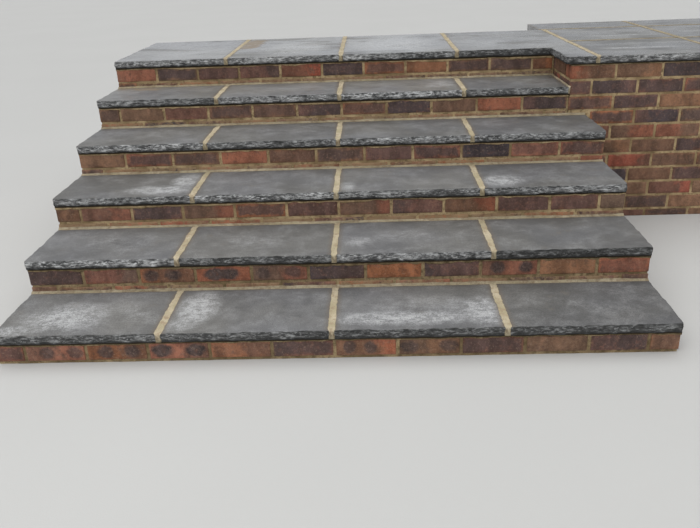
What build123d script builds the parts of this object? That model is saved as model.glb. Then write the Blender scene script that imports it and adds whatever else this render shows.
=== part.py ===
from build123d import *
import math
import os
import random

# Outdoor stone steps: five stone treads on brick risers that climb to a landing,
# with a brick retaining wall and a paved terrace that run on to the right.
# X runs along the treads to the right, Y up the flight, Z up from the ground.
# All sizes are in millimetres.

# Flight
tread_count = 5
first_rise = 121.0          # ground to the top of the first tread
rise = 142.0                # each later step
going = 350.0               # nose to nose
slabs_across = 4
slab_width = 600.0
slab_thickness = 36.0
slab_joint = 18.0           # pointed joint between two slabs
nose_overhang = 14.0        # slab past the riser below it
side_overhang = 3.0         # slab past the side wall below it

# Brickwork
brick_leaf = 102.5          # half-brick wall
retaining_thickness = 215.0
bed_thickness = 10.0        # mortar bed under every slab

# Landing and terrace
terrace_slab_depth = 600.0
terrace_rows = 2            # whole rows of slabs in front of the cut row
cut_row_depth = 351.0
terrace_bays = 3            # whole bays to the right of the corner slab
corner_slab_extra = 26.0    # corner slab past the right end of the flight
return_overhang = 30.0      # corner slab past the return wall
return_setback = 90.0       # return wall, in from the right end of the flight
return_joint = 8.0          # mortar between the top tread and the return wall
back_corner_overrun = 8.0   # landing's back corner, past the right end of the flight

# Mortar fillet in the angle between a tread and the riser behind it
fillet_depth = 9.0
fillet_height = 8.0

# Rock-faced edges: the sawn slab is pitched off to an uneven face
chip_length = 34.0          # spacing of the facets along an edge
front_chip_depth = 9.0      # deepest that a front edge is pitched off
side_chip_depth = 6.0
upper_chips = (0.15, 0.75)  # least and most cut at the top, as shares of the chip depth
belly_chips = (0.0, 0.4)
lower_chips = (0.3, 1.0)
belly_height = 0.52         # height of the proudest line, as a share of the slab
corner_break = 16.0         # how far along each edge an outer corner is broken off
corner_cut = 3.0            # how much further in both edges are cut at that corner

# Seeds of the chips, so that every slab differs and each build gives the same ones
seed_stride = 10
landing_seed = 70
corner_seed = 75
terrace_seed = 100

# Lines and levels worked out from the sizes above, about an origin at the middle of the base
slab_pitch = slab_width + slab_joint
flight_width = slabs_across * slab_pitch - slab_joint
overall_width = flight_width + corner_slab_extra + terrace_bays * slab_pitch
terrace_depth = terrace_rows * (terrace_slab_depth + slab_joint) + cut_row_depth
overall_depth = (tread_count - 1) * going + terrace_depth
flight_left = -overall_width / 2
flight_right = flight_left + flight_width
wall_left = flight_left + side_overhang
wall_right = flight_right - side_overhang
first_nose = -overall_depth / 2
landing_nose = first_nose + tread_count * going
terrace_nose = landing_nose - going
terrace_face = terrace_nose + nose_overhang
terrace_back = terrace_nose + terrace_depth
landing_back = terrace_back - cut_row_depth - slab_joint
landing_level = first_rise + tread_count * rise
corner_left = flight_left + (slabs_across - 1) * slab_pitch
corner_right = flight_right + corner_slab_extra
terrace_left = corner_right + slab_joint
terrace_right = overall_width / 2
terrace_wall_right = terrace_right - side_overhang
return_face_x = flight_right - return_setback
return_inner_x = return_face_x + brick_leaf
corner_edge_x = return_face_x - return_overhang
inner_wall_x = flight_right + back_corner_overrun


def tread_level(step):
    """Height of a tread's top, with the landing as the step after the last."""
    return first_rise + (step - 1) * rise


def nose_line(step):
    return first_nose + (step - 1) * going


def riser_face(step):
    return nose_line(step) + nose_overhang


def brick_top(step):
    """Top of the brickwork that carries a tread."""
    return tread_level(step) - slab_thickness - bed_thickness


def block(left, right, front, back, bottom, top):
    box = Box(right - left, back - front, top - bottom, align=(Align.MIN, Align.MIN, Align.MIN))
    return Pos(left, front, bottom) * box


def prism(corners, bottom, top):
    outline = Plane.XY.offset(bottom) * Polyline(*corners, close=True)
    return extrude(make_face(outline), amount=top - bottom, dir=(0, 0, 1))


def save(name, *solids):
    shape = solids[0] if len(solids) == 1 else Compound(list(solids))
    shape.label = name
    export_step(shape, f"parts/{name}.step")


# Rock-faced slabs


def edge_stations(start, end, rough, broken_start, broken_end):
    """Points along one edge of a slab, without its last corner."""
    length = math.dist(start, end)
    if not rough:
        return [start]
    first = corner_break if broken_start else 0.0
    last = length - (corner_break if broken_end else 0.0)
    count = max(2, round((last - first) / chip_length))
    distances = [first + (last - first) * i / count for i in range(count + 1)]
    if broken_start:
        distances.insert(0, 0.0)
    if not broken_end:
        distances.pop()
    return [
        (start[0] + (end[0] - start[0]) * d / length, start[1] + (end[1] - start[1]) * d / length)
        for d in distances
    ]


def outward(start, end):
    """Unit normal to the right of an edge, which is outward on an anticlockwise outline."""
    length = math.dist(start, end)
    return ((end[1] - start[1]) / length, -(end[0] - start[0]) / length)


def chipped_ring(stations, limits, corner_cuts, shares, chance):
    """Moves each station inward by an uneven share of its edges' chip depth."""
    ring = []
    for (x, y), moves, cut in zip(stations, limits, corner_cuts):
        for (nx, ny), depth in moves:
            inset = depth * chance.uniform(*shares) + cut
            x -= nx * inset
            y -= ny * inset
        ring.append((x, y))
    return ring


def rock_faced_slab(corners, chip_depths, top, seed):
    """A slab with anticlockwise corners; edge i, from corner i, is pitched by chip_depths[i] or sawn at 0."""
    chance = random.Random(seed)
    count = len(corners)
    stations = []
    limits = []
    corner_cuts = []
    sawn_spans = []
    for i in range(count):
        start, end, after = corners[i], corners[(i + 1) % count], corners[(i + 2) % count]
        before = corners[i - 1]
        rough = chip_depths[i] > 0
        rough_before = chip_depths[i - 1] > 0
        rough_after = chip_depths[(i + 1) % count] > 0
        normal = outward(start, end)
        normal_before = outward(before, start)
        normal_after = outward(end, after)
        convex_start = normal_before[0] * normal[1] - normal_before[1] * normal[0] > 0
        convex_end = normal[0] * normal_after[1] - normal[1] * normal_after[0] > 0
        broken_start = rough and rough_before and convex_start
        broken_end = rough and rough_after and convex_end
        points = edge_stations(start, end, rough, broken_start, broken_end)
        if not rough:
            sawn_spans.append(len(stations))
        for j, point in enumerate(points):
            moves = []
            if rough:
                moves.append((normal, chip_depths[i]))
            if j == 0 and rough_before:
                moves.append((normal_before, chip_depths[i - 1]))
            stations.append(point)
            limits.append(moves)
            corner_cuts.append(corner_cut if j == 0 and broken_start else 0.0)
    upper = chipped_ring(stations, limits, corner_cuts, upper_chips, chance)
    belly = chipped_ring(stations, limits, corner_cuts, belly_chips, chance)
    lower = chipped_ring(stations, limits, corner_cuts, lower_chips, chance)
    bottom = top - slab_thickness
    belly_level = bottom + slab_thickness * belly_height
    top_ring = [(x, y, top) for x, y in upper]
    belly_ring = [(x, y, belly_level) for x, y in belly]
    low_ring = [(x, y, bottom) for x, y in lower]
    faces = [planar_face(top_ring), planar_face(list(reversed(low_ring)))]
    total = len(stations)
    for k in range(total):
        n = (k + 1) % total
        if k in sawn_spans:
            rim = [top_ring[k], belly_ring[k], low_ring[k], low_ring[n], belly_ring[n], top_ring[n]]
            faces.append(planar_face(rim))
        else:
            faces += facets(top_ring[k], top_ring[n], belly_ring[k], belly_ring[n], k % 2)
            faces += facets(belly_ring[k], belly_ring[n], low_ring[k], low_ring[n], (k + 1) % 2)
    return Solid(Shell(faces))


def planar_face(points):
    return Face(Wire.make_polygon([Vector(*p) for p in points], close=True))


def facets(high_a, high_b, low_a, low_b, way):
    """Two triangles between two rings, split along one diagonal or the other."""
    if way:
        return [planar_face([high_a, low_a, high_b]), planar_face([high_b, low_a, low_b])]
    return [planar_face([high_a, low_a, low_b]), planar_face([high_a, low_b, high_b])]


def rectangle(left, right, front, back):
    return [(left, front), (right, front), (right, back), (left, back)]


# Slabs


def tread_slab_span(step, index):
    """Left and right ends of one slab of a tread; the top tread stops at the return wall."""
    left = flight_left + index * slab_pitch
    right = left + slab_width
    if step == tread_count and index == slabs_across - 1:
        right = return_face_x - return_joint
    return left, right


def make_tread_slabs():
    for step in range(1, tread_count + 1):
        for index in range(slabs_across):
            left, right = tread_slab_span(step, index)
            open_right = index == slabs_across - 1 and step < tread_count
            chips = [
                front_chip_depth,
                side_chip_depth if open_right else 0.0,
                0.0,
                side_chip_depth if index == 0 else 0.0,
            ]
            outline = rectangle(left, right, nose_line(step), riser_face(step + 1))
            slab = rock_faced_slab(outline, chips, tread_level(step), seed=seed_stride * step + index)
            save(f"tread_{step}_slab_{index + 1}", slab)


def make_landing_slabs():
    for index in range(slabs_across - 1):
        left = flight_left + index * slab_pitch
        chips = [front_chip_depth, 0.0, 0.0, side_chip_depth if index == 0 else 0.0]
        outline = rectangle(left, left + slab_width, landing_nose, landing_back)
        slab = rock_faced_slab(outline, chips, landing_level, seed=landing_seed + index)
        save(f"landing_slab_{index + 1}", slab)
    corner = [
        (corner_left, landing_nose),
        (corner_edge_x, landing_nose),
        (corner_edge_x, terrace_nose),
        (corner_right, terrace_nose),
        (corner_right, landing_back),
        (corner_left, landing_back),
    ]
    chips = [front_chip_depth, front_chip_depth, front_chip_depth, 0.0, 0.0, 0.0]
    slab = rock_faced_slab(corner, chips, landing_level, seed=corner_seed)
    save(f"landing_slab_{slabs_across}", slab)


def make_terrace_slabs():
    for row in range(1, terrace_rows + 2):
        front = terrace_nose + (row - 1) * (terrace_slab_depth + slab_joint)
        cut_row = row == terrace_rows + 1
        back = terrace_back if cut_row else front + terrace_slab_depth
        slabs = []
        for bay in range(terrace_bays):
            left = terrace_left + bay * slab_pitch
            right = left + slab_width
            if cut_row and bay == 0:
                left = inner_wall_x
            chips = [
                front_chip_depth if row == 1 else 0.0,
                side_chip_depth if bay == terrace_bays - 1 else 0.0,
                0.0,
                0.0,
            ]
            outline = rectangle(left, right, front, back)
            seed = terrace_seed + seed_stride * row + bay
            slabs.append(rock_faced_slab(outline, chips, landing_level, seed))
        save(f"terrace_row_{row}", *slabs)


# Brick walls


def make_riser_walls():
    for step in range(1, tread_count + 2):
        front = riser_face(step)
        right = wall_right
        if step >= tread_count:
            right = return_face_x
        wall = block(wall_left, right, front, front + brick_leaf, 0, brick_top(step))
        save(f"riser_wall_{step}", wall)


def side_panels(left, right, last_step):
    """Side walling under each tread, from the back of its riser to the next riser's face."""
    return [
        block(left, right, riser_face(step) + brick_leaf, riser_face(step + 1), 0, brick_top(step))
        for step in range(1, last_step + 1)
    ]


def make_side_walls():
    landing_front = riser_face(tread_count + 1) + brick_leaf
    landing_panel = block(
        wall_left,
        wall_left + brick_leaf,
        landing_front,
        landing_back - brick_leaf,
        0,
        brick_top(tread_count + 1),
    )
    save("left_side_wall", *side_panels(wall_left, wall_left + brick_leaf, tread_count), landing_panel)
    save("right_side_wall", *side_panels(wall_right - brick_leaf, wall_right, tread_count - 1))


def make_terrace_walls():
    top = brick_top(tread_count + 1)
    wall_back = terrace_face + retaining_thickness
    end_inner = terrace_wall_right - retaining_thickness
    landing_inner = landing_back - brick_leaf
    terrace_inner = terrace_back - brick_leaf
    inner_wall_right = inner_wall_x + brick_leaf
    save("retaining_wall", block(return_face_x, terrace_wall_right, terrace_face, wall_back, 0, top))
    save("return_wall", block(return_face_x, return_inner_x, wall_back, landing_inner, 0, top))
    save("terrace_end_wall", block(end_inner, terrace_wall_right, wall_back, terrace_inner, 0, top))
    save("terrace_back_wall", block(inner_wall_x, terrace_wall_right, terrace_inner, terrace_back, 0, top))
    save("terrace_inner_wall", block(inner_wall_x, inner_wall_right, landing_inner, terrace_inner, 0, top))
    save("landing_back_wall", block(wall_left, inner_wall_x, landing_inner, landing_back, 0, top))


# Infill and mortar


def make_infill():
    inner_left = wall_left + brick_leaf
    inner_right = wall_right - brick_leaf
    cores = []
    for step in range(1, tread_count + 1):
        right = return_face_x if step == tread_count else inner_right
        front = riser_face(step) + brick_leaf
        cores.append(block(inner_left, right, front, riser_face(step + 1), 0, brick_top(step)))
    top = brick_top(tread_count + 1)
    landing_front = riser_face(tread_count + 1) + brick_leaf
    cores.append(block(inner_left, return_face_x, landing_front, landing_back - brick_leaf, 0, top))
    wall_back = terrace_face + retaining_thickness
    end_inner = terrace_wall_right - retaining_thickness
    terrace_core = prism(
        [
            (return_inner_x, wall_back),
            (end_inner, wall_back),
            (end_inner, terrace_back - brick_leaf),
            (inner_wall_x + brick_leaf, terrace_back - brick_leaf),
            (inner_wall_x + brick_leaf, landing_back - brick_leaf),
            (return_inner_x, landing_back - brick_leaf),
        ],
        0,
        top,
    )
    save("infill", *cores, terrace_core)


def make_mortar_beds():
    beds = []
    for step in range(1, tread_count + 1):
        right = return_face_x if step == tread_count else wall_right
        level = brick_top(step)
        bed = block(wall_left, right, riser_face(step), riser_face(step + 1), level, level + bed_thickness)
        beds.append(bed)
    level = brick_top(tread_count + 1)
    landing_bed = prism(
        [
            (wall_left, riser_face(tread_count + 1)),
            (return_face_x, riser_face(tread_count + 1)),
            (return_face_x, terrace_face),
            (terrace_wall_right, terrace_face),
            (terrace_wall_right, terrace_back),
            (inner_wall_x, terrace_back),
            (inner_wall_x, landing_back),
            (wall_left, landing_back),
        ],
        level,
        level + bed_thickness,
    )
    save("mortar_beds", *beds, landing_bed)


def slab_gap(left, front, back, top):
    """Pointing between two slabs, held back from the deepest chips of their front edges."""
    return block(left, left + slab_joint, front, back, top - slab_thickness, top)


def make_tread_pointing():
    combs = []
    for step in range(1, tread_count + 1):
        front = nose_line(step) + front_chip_depth
        back = riser_face(step + 1)
        top = tread_level(step)
        right = return_face_x if step == tread_count else wall_right
        profile = [(back, top), (back, top + fillet_height), (back - fillet_depth, top)]
        section = make_face(Polyline(*[(wall_left, y, z) for y, z in profile], close=True))
        comb = extrude(section, amount=right - wall_left, dir=(1, 0, 0))
        for index in range(slabs_across - 1):
            comb += slab_gap(flight_left + index * slab_pitch + slab_width, front, back, top)
        if step == tread_count:
            comb += block(return_face_x - return_joint, return_face_x, front, back, top - slab_thickness, top)
        combs.append(comb)
    save("tread_pointing", *combs)


def make_landing_pointing():
    top = landing_level
    strips = []
    for index in range(slabs_across - 1):
        left = flight_left + index * slab_pitch + slab_width
        strips.append(slab_gap(left, landing_nose + front_chip_depth, landing_back, top))
    save("landing_pointing", *strips)


def make_terrace_pointing():
    top = landing_level
    low = top - slab_thickness
    right = terrace_right - side_chip_depth
    grid = slab_gap(corner_right, terrace_nose + front_chip_depth, landing_back + slab_joint, top)
    for row in range(1, terrace_rows + 1):
        front = terrace_nose + row * (terrace_slab_depth + slab_joint) - slab_joint
        left = inner_wall_x if row == terrace_rows else corner_right
        grid += block(left, right, front, front + slab_joint, low, top)
    for bay in range(1, terrace_bays):
        left = terrace_left + bay * slab_pitch - slab_joint
        grid += slab_gap(left, terrace_nose + front_chip_depth, terrace_back, top)
    save("terrace_pointing", grid)


os.makedirs("parts", exist_ok=True)
make_tread_slabs()
make_landing_slabs()
make_terrace_slabs()
make_riser_walls()
make_side_walls()
make_terrace_walls()
make_infill()
make_mortar_beds()
make_tread_pointing()
make_landing_pointing()
make_terrace_pointing()
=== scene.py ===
import itertools
import math
import random

import bmesh
import bpy
import numpy as np
from mathutils import Matrix, Vector


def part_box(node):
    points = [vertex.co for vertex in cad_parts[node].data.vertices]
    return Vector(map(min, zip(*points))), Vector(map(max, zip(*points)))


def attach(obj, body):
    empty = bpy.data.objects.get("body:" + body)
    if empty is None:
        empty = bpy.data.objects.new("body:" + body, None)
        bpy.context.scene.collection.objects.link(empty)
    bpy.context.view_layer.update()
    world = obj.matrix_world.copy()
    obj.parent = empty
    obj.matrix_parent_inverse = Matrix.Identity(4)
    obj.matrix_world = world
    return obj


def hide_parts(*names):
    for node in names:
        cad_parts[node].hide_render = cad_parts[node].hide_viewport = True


# Outdoor stone steps. X runs right along the treads, Y up the flight, Z up, all in metres.

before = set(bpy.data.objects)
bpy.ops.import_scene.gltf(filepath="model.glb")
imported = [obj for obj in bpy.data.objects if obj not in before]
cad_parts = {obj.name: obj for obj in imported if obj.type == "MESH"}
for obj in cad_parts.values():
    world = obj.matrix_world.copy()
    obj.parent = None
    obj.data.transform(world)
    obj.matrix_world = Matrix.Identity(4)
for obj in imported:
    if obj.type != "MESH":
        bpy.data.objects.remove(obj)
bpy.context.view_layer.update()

# Counts, overhangs and pitched depths of the part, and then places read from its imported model

treads = 5
landing = treads + 1
slabs_across = 4
terrace_bays = 3
terrace_rows = 3
nose_overhang = 0.014
side_overhang = 0.003
return_overhang = 0.030
front_chip = 0.009
side_chip = 0.006

risers = {k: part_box(f"riser_wall_{k}") for k in range(1, landing + 1)}
face = {k: risers[k][0].y for k in risers}
nose = {k: face[k] - nose_overhang for k in risers}
brick_top = {k: risers[k][1].z for k in risers}
wall_left = risers[1][0].x
wall_right = risers[1][1].x
flight_left = wall_left - side_overhang
flight_right = wall_right + side_overhang
leaf = risers[1][1].y - risers[1][0].y
slab_low = {k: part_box(f"tread_{k}_slab_2")[0].z for k in range(1, landing)}
slab_top = {k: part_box(f"tread_{k}_slab_2")[1].z for k in range(1, landing)}
slab_low[landing], slab_top[landing] = (corner.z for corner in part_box("landing_slab_2"))
slab_thickness = slab_top[1] - slab_low[1]
landing_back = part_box("landing_back_wall")[1].y
return_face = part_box("return_wall")[0].x
terrace_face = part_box("retaining_wall")[0].y
terrace_nose = terrace_face - nose_overhang
end_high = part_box("terrace_end_wall")[1]
terrace_right = end_high.x + side_overhang
terrace_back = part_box("terrace_back_wall")[1].y
inner_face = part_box("terrace_inner_wall")[0].x
corner_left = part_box("landing_slab_4")[0].x
corner_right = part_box("landing_slab_4")[1].x
corner_edge = return_face - return_overhang
terrace_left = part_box("terrace_row_1")[0].x
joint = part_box("tread_1_slab_2")[0].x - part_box("tread_1_slab_1")[1].x
terrace_pitch = (terrace_right - terrace_left + joint) / terrace_bays


# Repeatable noise

whole_mask = 0xFFFFFFFF


def lattice_value(cell, seed):
    """A repeatable number from 0 to 1 for each point of a whole-number lattice."""
    x, y, z = (cell[..., axis].astype(np.int64) & whole_mask for axis in range(3))
    n = (x * 374761393 + y * 668265263 + z * 1442695041 + seed * 362437) & whole_mask
    n = ((n ^ (n >> 13)) * 1274126177) & whole_mask
    n = ((n ^ (n >> 15)) * 461845907) & whole_mask
    return (n ^ (n >> 16)) / float(whole_mask)


def noise(points, size, seed):
    """Smooth noise from 0 to 1 with bumps about as large as size."""
    scaled = np.asarray(points, float) / size
    cell = np.floor(scaled).astype(np.int64)
    part = scaled - cell
    part = part * part * (3 - 2 * part)
    total = np.zeros(scaled.shape[:-1])
    for corner in itertools.product((0, 1), repeat=3):
        weight = np.ones(scaled.shape[:-1])
        for axis, side in enumerate(corner):
            weight = weight * (part[..., axis] if side else 1 - part[..., axis])
        total += weight * lattice_value(cell + np.array(corner), seed)
    return total


def scooped(along, down, seed, chip, layer):
    """How deep the overlapping chips of a pitched edge cut, from 0 to 1, with crisp ridges between them."""
    deepest = np.zeros(np.broadcast(along, down).shape)
    first, row = np.floor(along / chip), np.floor(down / layer)
    for step, rise in itertools.product((-1, 0, 1), repeat=2):
        cell = np.stack(np.broadcast_arrays(first + step, row + rise, 0 * along), -1)
        place, height, depth, spread = (lattice_value(cell, seed * 8 + k) for k in range(4))
        u = (along - (cell[..., 0] + place) * chip) / (chip * (0.55 + 0.6 * spread))
        v = (down - (cell[..., 1] + height) * layer) / (layer * (0.75 + 0.6 * spread))
        deepest = np.maximum(deepest, 0.25 + 0.75 * depth - 0.7 * (u * u + v * v))
    return deepest


# Mesh building


class Parts:
    """Points, faces and named point values that become one piece."""

    def __init__(self):
        self.points = []
        self.faces = []
        self.values = {}
        self.count = 0

    def add(self, points, faces, **values):
        points = np.asarray(points, float).reshape(-1, 3)
        self.faces += [tuple(index + self.count for index in f) for f in faces]
        self.points.append(points)
        self.count += len(points)
        for name, value in values.items():
            self.values.setdefault(name, []).append(np.asarray(value, float))


def make_piece(node, ending, parts, look):
    """One object from gathered parts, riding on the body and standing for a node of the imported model."""
    material, slot, sharp_angle = look
    name = f"{node}_{ending}"
    mesh = bpy.data.meshes.new(name)
    mesh.from_pydata(np.concatenate(parts.points).tolist(), [], parts.faces)
    for key, values in parts.values.items():
        joined = np.concatenate(values).astype(np.float32)
        kind, field = ("FLOAT", "value") if joined.ndim == 1 else ("FLOAT_VECTOR", "vector")
        mesh.attributes.new(key, kind, "POINT").data.foreach_set(field, joined.ravel())
    shaped = bmesh.new()
    shaped.from_mesh(mesh)
    bmesh.ops.recalc_face_normals(shaped, faces=shaped.faces)
    shaped.to_mesh(mesh)
    shaped.free()
    mesh.shade_smooth()
    mesh.set_sharp_from_angle(angle=math.radians(sharp_angle))
    mesh.materials.append(material)
    piece = bpy.data.objects.new(name, mesh)
    bpy.context.scene.collection.objects.link(piece)
    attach(piece, "root")
    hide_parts(node)


# Materials


class Shader:
    """A node material built from short calls."""

    def __init__(self, name):
        self.material = bpy.data.materials.new(name)
        self.material.use_nodes = True
        self.tree = self.material.node_tree
        self.tree.nodes.clear()

    def add(self, kind, inputs=(), **settings):
        node = self.tree.nodes.new("ShaderNode" + kind)
        for key, value in settings.items():
            setattr(node, key, value)
        for key, value in dict(inputs).items():
            if isinstance(value, bpy.types.NodeSocket):
                self.tree.links.new(value, node.inputs[key])
            else:
                node.inputs[key].default_value = value
        return node

    def attribute(self, name, output="Fac"):
        return self.add("Attribute", attribute_name=name).outputs[output]

    def noise(self, vector, scale, detail=2.0, roughness=0.5, distortion=0.0):
        settings = {
            "Vector": vector,
            "Scale": scale,
            "Detail": detail,
            "Roughness": roughness,
            "Distortion": distortion,
        }
        return self.add("TexNoise", settings).outputs["Fac"]

    def stretched(self, vector, scale, turn=0.0):
        settings = {"Vector": vector, "Scale": scale, "Rotation": (0, 0, math.radians(turn))}
        return self.add("Mapping", settings).outputs["Vector"]

    def math(self, operation, *values):
        return self.add("Math", dict(enumerate(values)), operation=operation).outputs[0]

    def times(self, first, second):
        return self.math("MULTIPLY", first, second)

    def scaled(self, value, factor, offset):
        return self.math("MULTIPLY_ADD", value, factor, offset)

    def less(self, first, second):
        return self.math("SUBTRACT", first, second)

    def larger(self, first, second):
        return self.math("MAXIMUM", first, second)

    def smaller(self, first, second):
        return self.math("MINIMUM", first, second)

    def nudged(self, value, sway, amount):
        """A value moved up and down by a noise that runs from 0 to 1."""
        return self.scaled(self.less(sway, 0.5), amount, value)

    def span(self, value, low, high, out_low=0.0, out_high=1.0):
        settings = {"Value": value, 1: low, 2: high, 3: out_low, 4: out_high}
        return self.add("MapRange", settings, interpolation_type="SMOOTHSTEP").outputs[0]

    def mix(self, share, first, second, way="MIX"):
        settings = {0: share, 6: rgba(first), 7: rgba(second)}
        return self.add("Mix", settings, data_type="RGBA", blend_type=way).outputs[2]

    def parts_of(self, vector):
        return self.add("SeparateXYZ", {"Vector": vector}).outputs

    def finish(self, colour, roughness, height, distance, strength=1.0, specular=0.5):
        bump = self.add("Bump", {"Height": height, "Distance": distance, "Strength": strength})
        settings = {
            "Base Color": colour,
            "Roughness": roughness,
            "Normal": bump.outputs[0],
            "Specular IOR Level": specular,
        }
        surface = self.add("BsdfPrincipled", settings)
        self.add("OutputMaterial", {"Surface": surface.outputs[0]})
        return self.material


def rgba(colour):
    return colour if isinstance(colour, bpy.types.NodeSocket) else (*colour, 1.0)


def grey(level):
    return (level, level, level)


def stone_material():
    """Dark grey sandstone: mottled, finely grained and hazed with salts, with partly painted reflection
    where wet, chipped on its pitched edges, with painted highlights on their proud chips and painted shade
    in their hollows and along their foot.
    """
    s = Shader("slab_stone")
    place = s.attribute("slab_place", "Vector")
    rough_edge = s.attribute("rough_edge")
    proud = s.attribute("proud")
    wet = s.attribute("wet")
    broad = s.noise(place, 3.4, 3.0, 0.55)
    patch = s.noise(place, 9.0, 4.0, 0.6, 0.3)
    cloud = s.noise(place, 34.0, 6.0, 0.70)
    streak = s.noise(s.stretched(place, (22.0, 110.0, 30.0), 14.0), 1.0, 5.0, 0.68)
    speck = s.noise(place, 210.0, 3.0, 0.7)
    grain = s.noise(place, 640.0, 2.0, 0.6)
    level = s.scaled(broad, 0.100, 0.014)
    level = s.scaled(patch, 0.040, level)
    level = s.scaled(cloud, 0.050, level)
    level = s.scaled(streak, 0.052, level)
    level = s.times(level, s.span(patch, 0.34, 0.52, 0.92, 1.0))
    level = s.times(level, s.attribute("slab_tone"))
    level = s.times(level, s.span(grain, 0.2, 0.8, 0.82, 1.18))
    level = s.times(level, s.span(speck, 0.30, 0.62, 0.80, 1.14))
    even = s.add("CombineColor", {0: level, 1: level, 2: level}).outputs[0]
    warmth = s.span(s.noise(place, 2.1, 2.0), 0.36, 0.64)
    tint = s.mix(warmth, (1.02, 1.0, 0.955), (0.985, 0.99, 1.02))
    plain = s.mix(1.0, even, tint, "MULTIPLY")
    rusty = s.span(s.noise(place, 12.0, 4.0, 0.6), 0.60, 0.76, 0.0, 0.35)
    plain = s.mix(rusty, plain, (0.155, 0.135, 0.105))
    film = s.times(s.span(patch, 0.42, 0.68, 0.0, 0.17), s.span(cloud, 0.36, 0.62, 0.2, 1.0))
    film = s.times(film, s.span(speck, 0.36, 0.60, 0.5, 1.4))
    # Haze: whitish salts, and on the wet landing, corner slab and terrace partly painted reflection
    haze = s.attribute("haze")
    blotch = s.nudged(haze, patch, 1.6)
    crust_and_reflection = s.times(s.larger(haze, 0.0), s.span(blotch, 0.05, 0.55, 0.30, 1.15))
    crust_and_reflection = s.times(crust_and_reflection, s.span(cloud, 0.36, 0.60, 0.35, 1.0))
    crust_and_reflection = s.times(crust_and_reflection, s.span(streak, 0.35, 0.62, 0.60, 1.0))
    crust_and_reflection = s.times(crust_and_reflection, s.span(speck, 0.36, 0.60, 0.50, 1.35))
    hazed_with_reflection = s.mix(s.smaller(s.larger(film, crust_and_reflection), 1.0), plain, (0.46, 0.465, 0.47))
    brown = s.times(s.attribute("joint_stain"), s.span(cloud, 0.3, 0.62, 0.30, 0.95))
    stained = s.mix(brown, hazed_with_reflection, (0.150, 0.118, 0.085))
    dust = s.times(s.span(blotch, -0.36, -0.90), s.span(cloud, 0.30, 0.55, 0.45, 0.90))
    stained = s.mix(dust, stained, (0.27, 0.215, 0.155))
    flake = s.noise(s.stretched(place, (26.0, 26.0, 120.0)), 1.0, 6.0, 0.72, 0.4)
    run = s.span(s.noise(place, 6.5, 2.0), 0.36, 0.60)
    # Painted shade: the deep-cut hollows of a pitched edge and its lowest band, under the slab's overhang,
    # go near black
    pit_shade = s.span(proud, 0.10, 0.48)
    body = s.mix(s.span(flake, 0.36, 0.58), (0.044, 0.045, 0.046), s.mix(run, grey(0.172), grey(0.310)))
    body = s.mix(pit_shade, (0.012, 0.012, 0.012), body)
    # Painted highlight: flakes on the proud chips of a pitched edge are lighter, as where they catch the
    # light
    lit = s.times(s.span(flake, 0.49, 0.62), s.span(proud, 0.30, 0.70, 0.12, 1.0))
    lit = s.times(lit, s.scaled(run, 0.6, 0.4))
    glint = s.noise(s.stretched(place, (62.0, 62.0, 200.0)), 1.0, 4.0, 0.70)
    body = s.mix(s.span(glint, 0.48, 0.38, 0.0, 0.75), body, (0.022, 0.022, 0.022))
    shade = s.attribute("edge_shade")
    body = s.mix(shade, body, (0.020, 0.020, 0.019))
    # Painted highlight: sharp glints on the proud chips
    glint_highlight = s.times(s.span(glint, 0.53, 0.61), s.span(proud, 0.25, 0.60, 0.12, 0.75))
    lit = s.larger(s.times(lit, s.span(glint, 0.40, 0.54, 0.35, 1.0)), glint_highlight)
    lit = s.times(lit, s.scaled(shade, -0.75, 1.0))
    edge = s.mix(lit, body, (0.56, 0.57, 0.57))
    colour = s.mix(rough_edge, stained, edge)
    puddle = s.noise(s.stretched(place, (2.2, 6.0, 2.2)), 1.0, 3.0, 0.55)
    pool = s.times(wet, s.span(puddle, 0.26, 0.50, 0.25, 1.0))
    pool = s.times(pool, s.scaled(dust, -0.8, 1.0))
    roughness = s.less(s.span(cloud, 0.3, 0.7, 0.60, 0.74), s.times(pool, 0.52))
    roughness = s.larger(roughness, s.times(rough_edge, 0.8))
    height = s.scaled(cloud, 0.6, s.times(grain, 0.14))
    height = s.scaled(speck, 0.35, height)
    height = s.scaled(streak, 0.30, height)
    height = s.times(height, s.scaled(pool, -0.85, 1.0))
    height = s.scaled(s.times(flake, rough_edge), 1.6, height)
    height = s.scaled(s.times(glint, rough_edge), 0.6, height)
    return s.finish(colour, roughness, height, 0.0018, 0.8, 0.45)


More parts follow.
